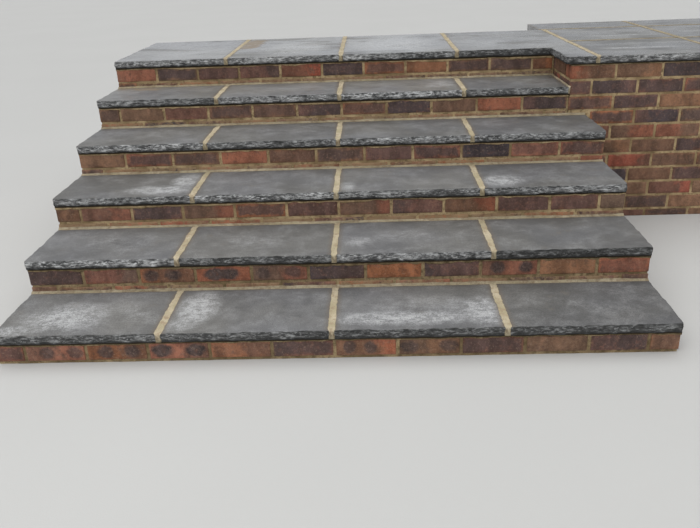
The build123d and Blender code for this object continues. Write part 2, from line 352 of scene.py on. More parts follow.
def brick_material():
    """Mixed stock bricks: two-tone or burnt in firing, with kiss marks, speckles, creases and smears."""
    s = Shader("brickwork")
    position = s.add("NewGeometry").outputs["Position"]
    x, y, z = s.parts_of(s.attribute("brick_place", "Vector"))[0:3]
    half = s.parts_of(s.attribute("brick_half", "Vector"))
    marks = s.parts_of(s.attribute("brick_marks", "Vector"))
    wear = s.parts_of(s.attribute("brick_wear", "Vector"))
    spots = s.parts_of(s.attribute("kiss_marks", "Vector"))
    shift = s.add("CombineXYZ", {0: marks[2], 1: marks[2], 2: marks[2]}).outputs[0]
    around = s.add("VectorMath", {0: position, 1: shift}, operation="ADD").outputs[0]
    broad = s.noise(around, 17.0, 4.0, 0.6)
    mottle = s.noise(around, 62.0, 6.0, 0.68, 0.3)
    grain = s.noise(around, 480.0, 3.0, 0.65)
    drag = s.noise(s.stretched(around, (19.0, 19.0, 9.0)), 1.0, 5.0, 0.60, 0.3)
    u = s.scaled(s.math("DIVIDE", x, half[0]), 0.5, 0.5)
    w = s.scaled(s.math("DIVIDE", z, half[2]), 0.5, 0.5)
    gaps = [s.less(h, s.math("ABSOLUTE", c)) for h, c in zip(half, (x, y, z))]
    rim = s.smaller(s.larger(gaps[0], gaps[1]), gaps[2])
    rim = s.larger(s.smaller(gaps[0], gaps[1]), rim)
    wobble = s.scaled(mottle, 0.024, s.times(broad, 0.040))
    rim = s.math("ADD", rim, s.less(wobble, 0.032))
    second = s.nudged(u, broad, 1.0)
    second = s.nudged(second, mottle, 0.35)
    second = s.span(s.less(second, marks[0]), -0.14, 0.14)
    colour = s.mix(second, s.attribute("brick_colour", "Vector"), s.attribute("second_colour", "Vector"))
    burnt = s.times(s.span(rim, -0.003, 0.019), wear[0])
    colour = s.mix(burnt, colour, (0.088, 0.062, 0.062))
    fired = s.times(s.span(rim, 0.008, -0.002), wear[1])
    colour = s.mix(fired, colour, (0.26, 0.115, 0.072))
    near_first = s.math("ABSOLUTE", s.less(u, spots[0]))
    near_second = s.math("ABSOLUTE", s.less(u, spots[1]))
    away = s.math("DIVIDE", s.smaller(near_first, near_second), spots[2])
    up = s.math("DIVIDE", s.less(w, 0.52), 0.40)
    oval = s.math("ADD", s.math("POWER", away, 2.0), s.times(up, up))
    oval = s.nudged(oval, mottle, 2.0)
    oval = s.nudged(oval, broad, 2.2)
    kissed = s.times(s.span(oval, 1.45, 0.45), marks[1])
    kiss = s.mix(s.span(mottle, 0.42, 0.60), (0.046, 0.036, 0.038), (0.100, 0.076, 0.074))
    colour = s.mix(kissed, colour, kiss)
    smoke = s.times(s.span(mottle, 0.46, 0.66), s.span(broad, 0.40, 0.62, 0.05, 0.62))
    colour = s.mix(smoke, colour, (0.105, 0.068, 0.058))
    colour = s.mix(1.0, colour, s.mix(s.span(drag, 0.32, 0.68), grey(0.72), grey(1.28)), "MULTIPLY")
    blush = s.times(s.span(mottle, 0.54, 0.34), s.span(broad, 0.56, 0.38, 0.0, 0.26))
    colour = s.mix(blush, colour, (0.32, 0.150, 0.095))
    sanded = s.mix(s.span(grain, 0.25, 0.75), (0.73, 0.685, 0.640), (1.29, 1.22, 1.135))
    colour = s.mix(1.0, colour, sanded, "MULTIPLY")
    fleck = s.noise(around, 110.0, 5.0, 0.75)
    colour = s.mix(s.span(fleck, 0.47, 0.30, 0.0, 0.55), colour, (0.050, 0.036, 0.032))
    colour = s.mix(s.span(fleck, 0.53, 0.72, 0.0, 0.48), colour, (0.35, 0.25, 0.18))
    smear = s.nudged(wear[2], mottle, 1.5)
    smear = s.larger(s.span(smear, 0.42, 0.72, 0.0, 0.85), s.span(rim, 0.002, -0.010, 0.0, 0.70))
    colour = s.mix(smear, colour, (0.29, 0.200, 0.115))
    height = s.scaled(mottle, 0.9, s.times(grain, 0.35))
    crease = s.noise(s.stretched(around, (18.0, 18.0, 150.0)), 1.0, 3.0, 0.6)
    height = s.scaled(crease, 0.6, height)
    return s.finish(colour, s.span(mottle, 0.3, 0.7, 0.72, 0.92), height, 0.0022, 0.8, 0.30)


def mortar_material(name, light, dark, stain):
    """Sandy mortar with coarse grains, stained patches and dirt, turned near black as painted shade where
    its dirt value is above 1.
    """
    s = Shader(name)
    position = s.add("NewGeometry").outputs["Position"]
    broad = s.noise(position, 12.0, 4.0, 0.6)
    patch = s.noise(position, 48.0, 5.0, 0.65)
    sand = s.noise(position, 700.0, 2.0, 0.7)
    colour = s.mix(s.span(broad, 0.36, 0.62), dark, light)
    colour = s.mix(s.span(patch, 0.44, 0.68, 0.0, 0.85), colour, stain)
    dirt = s.attribute("dirt")
    grime = s.times(dirt, s.span(patch, 0.30, 0.62, 0.55, 1.0))
    colour = s.mix(grime, colour, (0.078, 0.058, 0.030))
    # Painted shade: values above 1 turn the mortar near black, as right under the slabs
    colour = s.mix(s.span(dirt, 0.8, 1.5), colour, (0.036, 0.026, 0.015))
    colour = s.mix(1.0, colour, s.mix(s.span(sand, 0.25, 0.75), grey(0.74), grey(1.26)), "MULTIPLY")
    height = s.scaled(patch, 0.8, s.times(sand, 0.5))
    return s.finish(colour, s.span(patch, 0.3, 0.7, 0.85, 0.97), height, 0.0022, 0.8, 0.25)


def concrete_material():
    """Rough cast infill behind the walls."""
    s = Shader("infill_concrete")
    position = s.add("NewGeometry").outputs["Position"]
    broad = s.noise(position, 5.0, 4.0, 0.6)
    stones = s.add("TexVoronoi", {"Vector": position, "Scale": 55.0}).outputs["Distance"]
    sand = s.noise(position, 400.0, 2.0, 0.7)
    colour = s.mix(s.span(broad, 0.3, 0.7), (0.22, 0.21, 0.19), (0.33, 0.32, 0.30))
    colour = s.mix(s.span(stones, 0.1, 0.5, 0.4, 0.0), colour, (0.14, 0.13, 0.12))
    height = s.scaled(stones, 0.8, s.times(sand, 0.4))
    return s.finish(colour, s.span(sand, 0.2, 0.8, 0.82, 0.95), height, 0.003, 0.8, 0.3)


def floor_material():
    s = Shader("studio_floor")
    position = s.add("NewGeometry").outputs["Position"]
    tint = s.mix(s.span(s.noise(position, 0.8, 2.0), 0.3, 0.7), (0.515, 0.515, 0.505), (0.525, 0.525, 0.515))
    roughness = s.span(s.noise(position, 30.0), 0.3, 0.7, 0.82, 0.88)
    return s.finish(tint, roughness, s.noise(position, 200.0), 0.0004)


stone = stone_material()
brick = brick_material()
wall_sand = ((0.52, 0.390, 0.220), (0.26, 0.182, 0.095), (0.16, 0.108, 0.055))
pointing_sand = ((0.52, 0.450, 0.320), (0.40, 0.345, 0.225), (0.33, 0.250, 0.165))
wall_mortar = mortar_material("brick_mortar", *wall_sand)
pointing = mortar_material("slab_pointing", *pointing_sand)
concrete = concrete_material()

# Material, slot and the angle in degrees from which an edge between two faces is sharp
stone_look = (stone, "slab_stone", 38)
brick_look = (brick, "brickwork", 40)
wall_mortar_look = (wall_mortar, "mortar", 60)
pointing_look = (pointing, "mortar", 50)

# Slabs

falloff_reach = 0.025
corner_break = 0.009
corner_break_depth = 0.0018
big_chip = (0.036, 0.013)
small_chip = (0.015, 0.008)
edge_wave_size = 0.110
edge_grain_size = 0.006
least_cut = 0.0002
flake_size = 0.028
flake_depth = 0.006
flake_reach = 0.006
nick_size = 0.009
nick_depth = 0.0010
worn_reach = 0.013
worn_depth = 0.0010
stain_reach = 0.022
fine_offsets = (0.0, 0.002, 0.005, 0.009, 0.014, 0.020)
ring_shares = (0.06, 0.16, 0.28, 0.41, 0.55, 0.70, 0.86, 1.0)
slab_relief = 0.0014
hollow_size = 0.16
ripple_size = 0.045
tiny = 1e-6

# Distance between grid lines across and up a slab, beside sawn edges and beside pitched ones
spacing_across = (0.024, 0.006)
spacing_up = (0.022, 0.008)
corner_spacing_up = 0.014


def grid_lines(stops, spacing, fine_after, fine_before=()):
    """Positions through all the stops, at most spacing apart, and close together beside pitched edges."""
    lines = []
    for low, high in zip(stops, stops[1:]):
        near = [low + o for o in fine_offsets] if low in fine_after else [low]
        far = [high - o for o in fine_offsets[::-1]] if high in fine_before else [high]
        count = max(1, math.ceil((far[0] - near[-1]) / spacing - tiny))
        lines += near[:-1] + np.linspace(near[-1], far[0], count + 1).tolist() + far[1:]
        lines.pop()
    return np.array(lines + [stops[-1]])


def inside(corners, x, y):
    """Whether points lie inside an outline."""
    hit = np.zeros(x.shape, bool)
    for (ax, ay), (bx, by) in zip(corners, corners[1:] + corners[:1]):
        if ay != by:
            hit ^= ((ay > y) != (by > y)) & (x < (bx - ax) * (y - ay) / (by - ay) + ax)
    return hit


class SlabEdge:
    """One pitched edge of a slab: how far in it is cut at a place along it and below its top."""

    def __init__(self, start, end, depth, broken_start, broken_end, seed):
        self.start = np.array(start)
        self.length = math.dist(start, end)
        self.way = (np.array(end) - self.start) / self.length
        self.inward = np.array((-self.way[1], self.way[0]))
        self.depth = depth
        self.broken = (broken_start, broken_end)
        self.seed = seed

    def inset(self, along, down):
        flat = np.stack([along, down, 0 * along], -1)
        share = down / slab_thickness
        lean = 0.16 + 0.30 * (share - 0.45) ** 2 * 4
        wave = noise(flat * (1, 0, 0), edge_wave_size, self.seed + 5)
        chips = scooped(along, down, self.seed, *big_chip)
        small = scooped(along, down, self.seed + 3, *small_chip)
        fine = noise(flat, edge_grain_size, self.seed + 6)
        cut = self.depth * (lean * 0.7 + 0.20 * wave + 0.68 * chips + 0.20 * small + 0.08 * fine - 0.34)
        for broken, distance in zip(self.broken, (along, self.length - along)):
            if broken:
                cut = cut + corner_break_depth * np.clip(1 - distance / corner_break, 0, 1) ** 1.6
        return np.maximum(cut, least_cut)

    def spall(self, along):
        """How far the arris has dropped where flakes have come off the top."""
        flat = np.stack([along, 0 * along, 0 * along], -1)
        flakes = np.clip(noise(flat, flake_size, self.seed + 11) - 0.55, 0, 1) * flake_depth
        return flakes + nick_depth * noise(flat, nick_size, self.seed + 12)

    def shift(self, x, y, down):
        """Move and drop of points near this edge, which of them lie on it, and how deep it is cut there."""
        along = (x - self.start[0]) * self.way[0] + (y - self.start[1]) * self.way[1]
        inner = (x - self.start[0]) * self.inward[0] + (y - self.start[1]) * self.inward[1]
        past = np.maximum(np.maximum(-along, along - self.length), 0)
        fade = np.clip(1 - past / falloff_reach, 0, 1) * np.clip(1 - inner / falloff_reach, 0, 1)
        fade = fade * (inner > -tiny)
        cut = self.inset(along, down)
        drop = self.spall(along) * np.clip(1 - inner / flake_reach, 0, 1) * (fade > 0)
        on_edge = (np.abs(inner) < tiny) & (past < tiny)
        return (cut * fade)[..., None] * self.inward, drop, on_edge, cut


def outline_loop(corners, xs, ys, index):
    """Numbers of the grid points along an outline, in order."""
    loop = []
    column = {x: i for i, x in enumerate(xs.tolist())}
    row = {y: j for j, y in enumerate(ys.tolist())}
    for (ax, ay), (bx, by) in zip(corners, corners[1:] + corners[:1]):
        i, j, i2, j2 = column[ax], row[ay], column[bx], row[by]
        di, dj = int(np.sign(i2 - i)), int(np.sign(j2 - j))
        while (i, j) != (i2, j2):
            loop.append(index[i, j])
            i, j = i + di, j + dj
    return np.array(loop)


def haze_and_reflection_at(points, patches):
    """Strength of the haze and painted reflection at each point. Patches are a place, two radii and a
    strength.
    """
    haze_and_reflection_amount = np.zeros(len(points))
    for x, y, radius_x, radius_y, strength in patches:
        away = np.hypot((points[:, 0] - x) / radius_x, (points[:, 1] - y) / radius_y)
        amount = strength * np.clip(1.25 - away, 0, 1) ** 0.8
        haze_and_reflection_amount = np.maximum(haze_and_reflection_amount, amount) if strength > 0 else haze_and_reflection_amount + amount
    return haze_and_reflection_amount


def turns_left(a, b, c):
    """Whether an outline from a to b turns left there on its way to c."""
    return (b[0] - a[0]) * (c[1] - b[1]) - (b[1] - a[1]) * (c[0] - b[0]) > 0


def pitched_edges(corners, depths, seed):
    """The pitched edges of an outline, broken off at corners that stick out between two of them."""
    edges = []
    count = len(corners)
    for i in range(count):
        if not depths[i]:
            continue
        before, a, b, c = (corners[(i + k) % count] for k in (-1, 0, 1, 2))
        broken_start = depths[i - 1] > 0 and turns_left(before, a, b)
        broken_end = depths[(i + 1) % count] > 0 and turns_left(a, b, c)
        edges.append(SlabEdge(a, b, depths[i], broken_start, broken_end, seed * 40 + i * 7))
    return edges


def lay_slab(parts, corners, depths, xs, ys, top, seed, wet=0.0, haze=(), tone=1.0, shade=0.0):
    """A slab over anticlockwise corners; edge i, from corner i, is pitched by depths[i] or sawn at 0."""
    chance = random.Random(seed)
    bottom = top - slab_thickness
    edges = pitched_edges(corners, depths, seed)
    cells = inside(corners, *np.meshgrid((xs[:-1] + xs[1:]) / 2, (ys[:-1] + ys[1:]) / 2, indexing="ij"))
    used = np.zeros((len(xs), len(ys)), bool)
    for dx, dy in itertools.product((0, 1), repeat=2):
        used[dx : dx + cells.shape[0], dy : dy + cells.shape[1]] |= cells
    index = np.full(used.shape, -1)
    index[used] = np.arange(used.sum())
    gx, gy = np.meshgrid(xs, ys, indexing="ij")
    plan = np.stack([gx[used], gy[used]], -1)

    def moved(flat, down):
        shifted = flat.copy()
        drop = np.zeros(len(flat))
        on_rough = np.zeros(len(flat), bool)
        proud = np.ones(len(flat))
        for edge in edges:
            move, fall, on_edge, cut = edge.shift(flat[:, 0], flat[:, 1], down)
            shifted += move
            drop = np.maximum(drop, fall)
            on_rough |= on_edge
            proud = np.where(on_edge, 1 - cut / edge.depth, proud)
        return shifted, drop, on_rough, proud

    near_sawn = np.ones(len(plan))
    for depth, a, b in zip(depths, corners, corners[1:] + corners[:1]):
        if not depth:
            axis = 1 if a[1] == b[1] else 0
            near_sawn = np.minimum(near_sawn, np.abs(plan[:, axis] - a[axis]))
    top_flat, drop, on_rough, proud = moved(plan, np.zeros(len(plan)))
    offset = np.array([chance.uniform(-9, 9), chance.uniform(-9, 9), chance.uniform(-9, 9)])
    flat3 = np.column_stack([plan, np.zeros(len(plan))]) + offset
    relief = slab_relief * (0.55 * noise(flat3, hollow_size, 1) + 0.3 * noise(flat3, ripple_size, 2) + 0.15)
    worn = worn_depth * np.clip(1 - near_sawn / worn_reach, 0, 1)
    top_points = np.column_stack([top_flat, top - relief - worn - drop])
    faces = []
    for i, j in np.argwhere(cells):
        faces.append((index[i, j], index[i + 1, j], index[i + 1, j + 1], index[i, j + 1]))
    loop = outline_loop(corners, xs, ys, index)
    rim = plan[loop]
    rim_top = top_points[loop, 2]
    all_points = [top_points]
    edge_share = [np.where(on_rough, 0.55, 0.0)]
    proud_and_low_shade = [proud]
    previous = loop
    total = len(top_points)
    for share in ring_shares:
        flat, _, rough_here, proud_here = moved(rim, np.full(len(rim), share * slab_thickness))
        all_points.append(np.column_stack([flat, rim_top + (bottom - rim_top) * share]))
        edge_share.append(np.where(rough_here, 1.0, 0.25))
        # Painted shade: the lowest rings count as less proud, so the stone paints them darker, as under the
        # slab
        proud_and_low_shade.append(proud_here * min(1.0, (1.04 - share) / 0.36))
        ring = np.arange(total, total + len(loop))
        following = np.roll(ring, -1)
        faces += zip(previous.tolist(), ring.tolist(), following.tolist(), np.roll(previous, -1).tolist())
        previous = ring
        total += len(loop)
    faces.append(tuple(previous[::-1].tolist()))
    points = np.concatenate(all_points)
    turn = chance.choice((0, 180)) + chance.uniform(-14, 14)
    spin = np.array(Matrix.Rotation(math.radians(turn), 3, "Z"))
    stain = np.clip(1 - near_sawn / stain_reach, 0, 1)
    tone *= chance.uniform(0.94, 1.07)
    shade = max(min(shade, 0.0), shade + chance.uniform(-0.12, 0.12))
    parts.add(
        points,
        faces,
        slab_place=(points - np.array([*np.mean(corners, 0), top])) @ spin.T + offset,
        slab_tone=np.full(len(points), tone),
        edge_shade=np.full(len(points), shade),
        rough_edge=np.concatenate(edge_share),
        proud=np.concatenate(proud_and_low_shade),
        haze=haze_and_reflection_at(points, haze),
        joint_stain=np.concatenate([stain, np.zeros(total - len(plan))]),
        wet=np.full(len(points), wet),
    )


def rectangle(left, right, front, back):
    return [(left, front), (right, front), (right, back), (left, back)]


def lay_plain_slab(parts, area, top, depths, seed, *looks):
    """A slab over an area given by its left, right, front and back."""
    left, right, front, back = area
    front_rough, right_rough, _, left_rough = (depth > 0 for depth in depths)
    xs = grid_lines([left, right], spacing_across[front_rough], [left] * left_rough, [right] * right_rough)
    ys = grid_lines([front, back], spacing_up[left_rough or right_rough], [front] * front_rough)
    lay_slab(parts, rectangle(*area), depths, xs, ys, top, seed, *looks)


# Whitish haze seen on the slabs, and brown dust where the strength is below nought; on the wet landing,
# corner slab and terrace the patches are partly painted reflection, and their thin streaks are painted
# reflection only:
# across and up the slab as shares of it, radii in metres, strength
haze_and_reflection_places = {
    (1, 1): [(0.38, 0.40, 0.17, 0.13, 0.90), (0.10, 0.12, 0.08, 0.05, 0.85), (0.80, 0.45, 0.10, 0.10, 0.40)],
    (1, 2): [(0.16, 0.55, 0.08, 0.15, 1.0), (0.10, 0.20, 0.08, 0.07, 0.6)],
    (1, 3): [(0.40, 0.24, 0.30, 0.06, 0.95), (0.90, 0.36, 0.08, 0.12, 1.0), (0.55, 0.5, 0.3, 0.12, 0.35)],
    (2, 1): [(0.55, 0.5, 0.22, 0.12, 0.35)],
    (2, 2): [(0.45, 0.45, 0.25, 0.10, 0.35)],
    (2, 3): [(0.15, 0.35, 0.07, 0.07, 0.55), (0.5, 0.5, 0.2, 0.1, 0.30)],
    (3, 1): [(0.76, 0.26, 0.16, 0.07, 0.95), (0.90, 0.62, 0.07, 0.11, 0.9)],
    (3, 3): [(0.06, 0.22, 0.05, 0.07, 0.7)],
    (3, 4): [(0.14, 0.28, 0.10, 0.08, 0.9)],
    (4, 2): [(0.5, 0.5, 0.22, 0.12, 0.30)],
    (5, 1): [(0.25, 0.85, 0.20, 0.07, -0.8)],
    (5, 3): [(0.86, 0.5, 0.10, 0.12, 0.65)],
    (6, 1): [(0.55, 0.35, 0.25, 0.30, 0.45)],
    (6, 2): [(0.55, 0.40, 0.22, 0.35, 0.75), (0.08, 0.68, 0.09, 0.30, -1.2)],
    (6, 3): [(0.45, 0.45, 0.28, 0.45, 0.95)],
    (6, 4): [(0.25, 0.35, 0.20, 0.25, 0.50), (0.70, 0.16, 0.16, 0.03, 0.4)],
    (7, 0): [(0.45, 0.42, 0.32, 0.035, 0.65), (0.75, 0.72, 0.22, 0.03, 0.5), (0.2, 0.85, 0.2, 0.03, 0.35)],
    (7, 1): [(0.25, 0.35, 0.24, 0.03, 0.55), (0.65, 0.65, 0.30, 0.035, 0.5)],
    (7, 2): [(0.5, 0.5, 0.3, 0.04, 0.45)],
    (8, 0): [(0.6, 0.3, 0.3, 0.04, 0.55), (0.3, 0.7, 0.22, 0.04, 0.45)],
    (8, 1): [(0.4, 0.45, 0.28, 0.04, 0.5)],
}

# By slab, or else by step: how pale and how wet the tops are, and how much darker the pitched edges are,
# or lighter where the number is below nought
slab_tones = {(1, 4): 0.86, (2, 4): 0.86, (3, 4): 0.92, (4, 4): 0.88, (5, 4): 0.76}
tread_wetness = {1: 0.0, 2: 0.0, 3: 0.10, 4: 0.25, 5: 0.55}
tread_tones = {5: 1.34}
edge_shades = {
    1: (0.72, 0.72, 0.72, 0.72),
    2: (-0.30, 0.64, 0.0, 0.95),
    3: (0.34, -0.80, 0.38, 0.0),
    4: (-0.40, 0.34, 0.0, 0.18),
    5: (0.32, 0.10, -0.80, 0.50),
}
landing_corner_shade = 0.58
# The landing's tops are paler partly by their own tone and partly by painted reflection off their wet stone
landing_tone_and_reflection = 1.35
landing_wetness = 1.0
corner_wetness = 0.9
terrace_wetness = 0.75
terrace_tone = 1.10


def slab_haze_and_reflection(step, number, left, right, front, back):
    """The patches of haze and painted reflection on a slab, with their places in metres."""
    return [
        (left + (right - left) * u, front + (back - front) * v, radius_x, radius_y, strength)
        for u, v, radius_x, radius_y, strength in haze_and_reflection_places.get((step, number), [])
    ]


def make_slabs():
    for step in range(1, treads + 1):
        for number in range(1, slabs_across + 1):
            node = f"tread_{step}_slab_{number}"
            low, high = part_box(node)
            open_left = number == 1
            open_right = number == slabs_across and step < treads
            left = flight_left if open_left else low.x
            right = flight_right if open_right else high.x
            area = (left, right, nose[step], face[step + 1])
            depths = [front_chip, side_chip * open_right, 0.0, side_chip * open_left]
            haze = slab_haze_and_reflection(step, number, *area)
            tone = slab_tones.get((step, number), 1.0) * tread_tones.get(step, 1.0)
            looks = (tread_wetness[step], haze, tone, edge_shades[step][number - 1])
            parts = Parts()
            lay_plain_slab(parts, area, slab_top[step], depths, 10 * step + number, *looks)
            make_piece(node, "stone", parts, stone_look)
    top = slab_top[landing]
    for number in range(1, slabs_across):
        node = f"landing_slab_{number}"
        low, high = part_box(node)
        left = flight_left if number == 1 else low.x
        area = (left, high.x, nose[landing], landing_back)
        depths = [front_chip, 0.0, 0.0, side_chip * (number == 1)]
        parts = Parts()
        haze = slab_haze_and_reflection(landing, number, *area)
        lay_plain_slab(parts, area, top, depths, 70 + number, landing_wetness, haze, landing_tone_and_reflection)
        make_piece(node, "stone", parts, stone_look)
    corner = [
        (corner_left, nose[landing]),
        (corner_edge, nose[landing]),
        (corner_edge, terrace_nose),
        (corner_right, terrace_nose),
        (corner_right, landing_back),
        (corner_left, landing_back),
    ]
    depths = [front_chip, front_chip, front_chip, 0.0, 0.0, 0.0]
    xs = grid_lines([corner_left, corner_edge, corner_right], spacing_across[True], [corner_edge])
    stops = [terrace_nose, nose[landing], landing_back]
    ys = grid_lines(stops, corner_spacing_up, stops[:2])
    haze = slab_haze_and_reflection(landing, slabs_across, corner_left, corner_right, nose[landing], landing_back)
    looks = (corner_wetness, haze, terrace_tone, landing_corner_shade)
    parts = Parts()
    lay_slab(parts, corner, depths, xs, ys, top, 75, *looks)
    make_piece("landing_slab_4", "stone", parts, stone_look)
    for number in range(1, terrace_rows + 1):
        node = f"terrace_row_{number}"
        low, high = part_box(node)
        front = terrace_nose if number == 1 else low.y
        parts = Parts()
        for bay in range(terrace_bays):
            left = terrace_left + bay * terrace_pitch
            area = (left if bay else low.x, left + terrace_pitch - joint, front, high.y)
            last = bay == terrace_bays - 1
            depths = [front_chip * (number == 1), side_chip * last, 0.0, 0.0]
            haze = slab_haze_and_reflection(landing + number, bay, *area)
            looks = (terrace_wetness, haze, terrace_tone)
            lay_plain_slab(parts, area, top, depths, 100 + 10 * number + bay, *looks)
        make_piece(node, "stone", parts, stone_look)


# Bricks

brick_length = 0.215
brick_height = 0.065
perpend = 0.010
arris = 0.0028
lattice = (11, 5, 6)
shortest_piece = 0.050
half_bond = (brick_length + perpend) / 2
swell_size = 0.050
swell_depth = 0.0009
dimple_size = 0.014
dimple_depth = 0.0004
nibble_size = 0.020
nibble_depth = 0.0085
most_lean = 0.0012

# How far a brick may fall short of its place at its low and high ends, along, into and up the wall
slack_low = (0.0012, 0.0016, 0.0011)
slack_high = (0.0012, 0.0002, 0.0011)

# Main colour, second colour, chance of the second tone, chance of kiss marks
brick_kinds = [
    ((0.300, 0.122, 0.078), (0.200, 0.096, 0.065), 0.60, 1.0),
    ((0.285, 0.124, 0.064), (0.190, 0.096, 0.060), 0.45, 0.8),
    ((0.225, 0.128, 0.080), (0.150, 0.095, 0.066), 0.45, 0.7),
    ((0.160, 0.095, 0.066), (0.250, 0.098, 0.062), 0.30, 0.5),
    ((0.135, 0.076, 0.065), (0.085, 0.058, 0.056), 0.45, 0.0),
    ((0.315, 0.090, 0.058), (0.185, 0.086, 0.060), 0.90, 0.4),
    ((0.052, 0.044, 0.052), (0.145, 0.078, 0.062), 0.40, 0.0),
]

# How common each kind is in a wall, and how many of its bricks have kiss marks
brick_mixes = {
    "low risers": ((26, 18, 12, 14, 18, 8, 4), 0.55),
    "high risers": ((18, 10, 20, 20, 18, 6, 8), 0.0),
    "walls": ((2, 5, 26, 42, 14, 4, 7), 0.02),
}

# Kiss marks: where the two lie along a brick and how far each reaches, as shares of its length
kiss_reaches = ((0.12, 0.36), (0.56, 0.84), (0.11, 0.20))


def box_lattice(cells):
    """Whole-number points on the skin of a box divided into cells, and its square faces."""
    spots = {}
    faces = []

    def spot(i, j, k):
        return spots.setdefault((i, j, k), len(spots))

    for axis, count in enumerate(cells):
        first, second = [a for a in range(3) if a != axis]
        for side in (0, count):
            for p, q in itertools.product(range(cells[first]), range(cells[second])):
                corners = []
                for dp, dq in ((0, 0), (1, 0), (1, 1), (0, 1)):
                    place = [0, 0, 0]
                    place[axis], place[first], place[second] = side, p + dp, q + dq
                    corners.append(spot(*place))
                faces.append(corners if (side == 0) == (axis == 1) else corners[::-1])
    return np.array(list(spots)), np.array(faces)


brick_spots, brick_faces = box_lattice(lattice)


def line_places(size, cells):
    """Lattice positions along each brick's side: one line at each arris and the rest evenly between."""
    inner = np.linspace(0, 1, cells - 1)
    middle = arris + (size[:, None] - 2 * arris) * inner
    return np.concatenate([np.zeros((len(size), 1)), middle, size[:, None]], 1)


class Brickwork:
    """Bricks gathered course by course, each a corner, two directions and three sizes."""

    def __init__(self, seed, mix="walls"):
        self.bricks = []
        self.chance = random.Random(seed)
        self.seed = seed
        self.shares, self.kiss_share = brick_mixes[mix]

    def course(self, origin, along, inward, start, end, top, smear=0.0):
        """Stretchers from start to end along a wall, the last two evened out where the last is too short."""
        low = max(top - brick_height, 0.0)
        spans = []
        place = start
        while place < end - tiny:
            spans.append([place, min(place + brick_length, end)])
            place += brick_length + perpend
        if len(spans) > 1 and spans[-1][1] - spans[-1][0] < shortest_piece:
            middle = (spans[-2][0] + spans[-1][1]) / 2
            spans[-2][1] = middle - perpend / 2
            spans[-1][0] = middle + perpend / 2
        for a, b in spans:
            corner = (origin[0] + along[0] * a, origin[1] + along[1] * a, low)
            self.bricks.append((corner, along, inward, (b - a, leaf, top - low), smear))

    def build(self, node):
        """Every brick worn and coloured on its own, as one piece."""
        count = len(self.bricks)
        chance = np.random.default_rng(self.seed)
        corner = np.array([b[0] for b in self.bricks], float)
        along = np.array([(*b[1], 0.0) for b in self.bricks], float)
        inward = np.array([(*b[2], 0.0) for b in self.bricks], float)
        size = np.array([b[3] for b in self.bricks], float)
        local, into = [], []
        for axis, lines in enumerate(brick_spots.T):
            local.append(line_places(size[:, axis], lattice[axis])[:, lines])
            into.append((lines == 0) * 1.0 - (lines == lattice[axis]))
        local, into = np.stack(local, -1), np.stack(into, -1)
        inner = np.clip(local, arris, size[:, None, :] - arris)
        away = local - inner
        length = np.linalg.norm(away, axis=-1, keepdims=True)
        local = np.where(length > 1e-9, inner + away / np.maximum(length, 1e-9) * arris, local)
        share = local / size[:, None, :]
        sides = np.abs(into).sum(-1)
        sample = local + chance.uniform(-50, 50, (count, 1, 3))
        amount = swell_depth * noise(sample, swell_size, 1) + dimple_depth * noise(sample, dimple_size, 2)
        nibble = np.clip(noise(sample, nibble_size, 3) - 0.52, 0, 1) * nibble_depth * (sides > 1)
        local = local + into * (amount + nibble)[..., None]
        seat_low = chance.uniform(0, 1, (count, 1, 3)) * slack_low
        seat_high = chance.uniform(0, 1, (count, 1, 3)) * slack_high
        local = seat_low + local * (1 - (seat_low + seat_high) / size[:, None, :])
        lean = chance.uniform(0, most_lean, (count, 1)) * share[..., 0]
        local[..., 1] = local[..., 1] + lean * (1 - share[..., 1])
        points = corner[:, None, :] + local[..., 0:1] * along[:, None, :]
        points = points + local[..., 1:2] * inward[:, None, :]
        points[..., 2] += local[..., 2]
        kinds = self.chance.choices(brick_kinds, self.shares, k=count)
        main, second, marks, kisses, wear = [], [], [], [], []
        for kind, laid in zip(kinds, self.bricks):
            brightness = self.chance.uniform(0.84, 1.16)
            warmth = self.chance.uniform(-0.09, 0.09)
            tint = [brightness * (1 + warmth), brightness, brightness * (1 - warmth)]
            main.append([c * t for c, t in zip(kind[0], tint)])
            second.append([c * t for c, t in zip(kind[1], tint)])
            two_tone = self.chance.random() < kind[2]
            blend_at = self.chance.uniform(0.25, 0.8) if two_tone else 3.0
            kiss = self.chance.random() < kind[3] * self.kiss_share
            strength = self.chance.uniform(0.75, 1.0) if kiss else 0.0
            marks.append((blend_at, strength, self.chance.uniform(0, 40)))
            kisses.append([self.chance.uniform(*reach) for reach in kiss_reaches])
            burnt = self.chance.uniform(0.3, 0.95) * (self.chance.random() < 0.45) * (1 - kiss)
            wear.append((burnt, self.chance.uniform(0.0, 0.5), laid[4] + self.chance.uniform(0.0, 0.22)))
        flipped = chance.integers(0, 2, (count, 1)) > 0
        place = local - size[:, None, :] / 2
        place[..., 0] = np.where(flipped, -place[..., 0], place[..., 0])
        faces = (brick_faces[None] + np.arange(count)[:, None, None] * len(brick_spots)).reshape(-1, 4)
        one_a_brick = {
            "brick_colour": main,
            "second_colour": second,
            "brick_marks": marks,
            "kiss_marks": kisses,
            "brick_wear": wear,
            "brick_half": size / 2,
        }
        values = {}
        for name, value in one_a_brick.items():
            values[name] = np.repeat(np.array(value, float), len(brick_spots), axis=0)
        parts = Parts()
        parts.add(points, faces.tolist(), brick_place=place.reshape(-1, 3), **values)
        make_piece(node, "bricks", parts, brick_look)


# Rough prisms: the mortar that carries the bricks, and the beds under the slabs

lump_size = 0.045
grit_size = 0.012


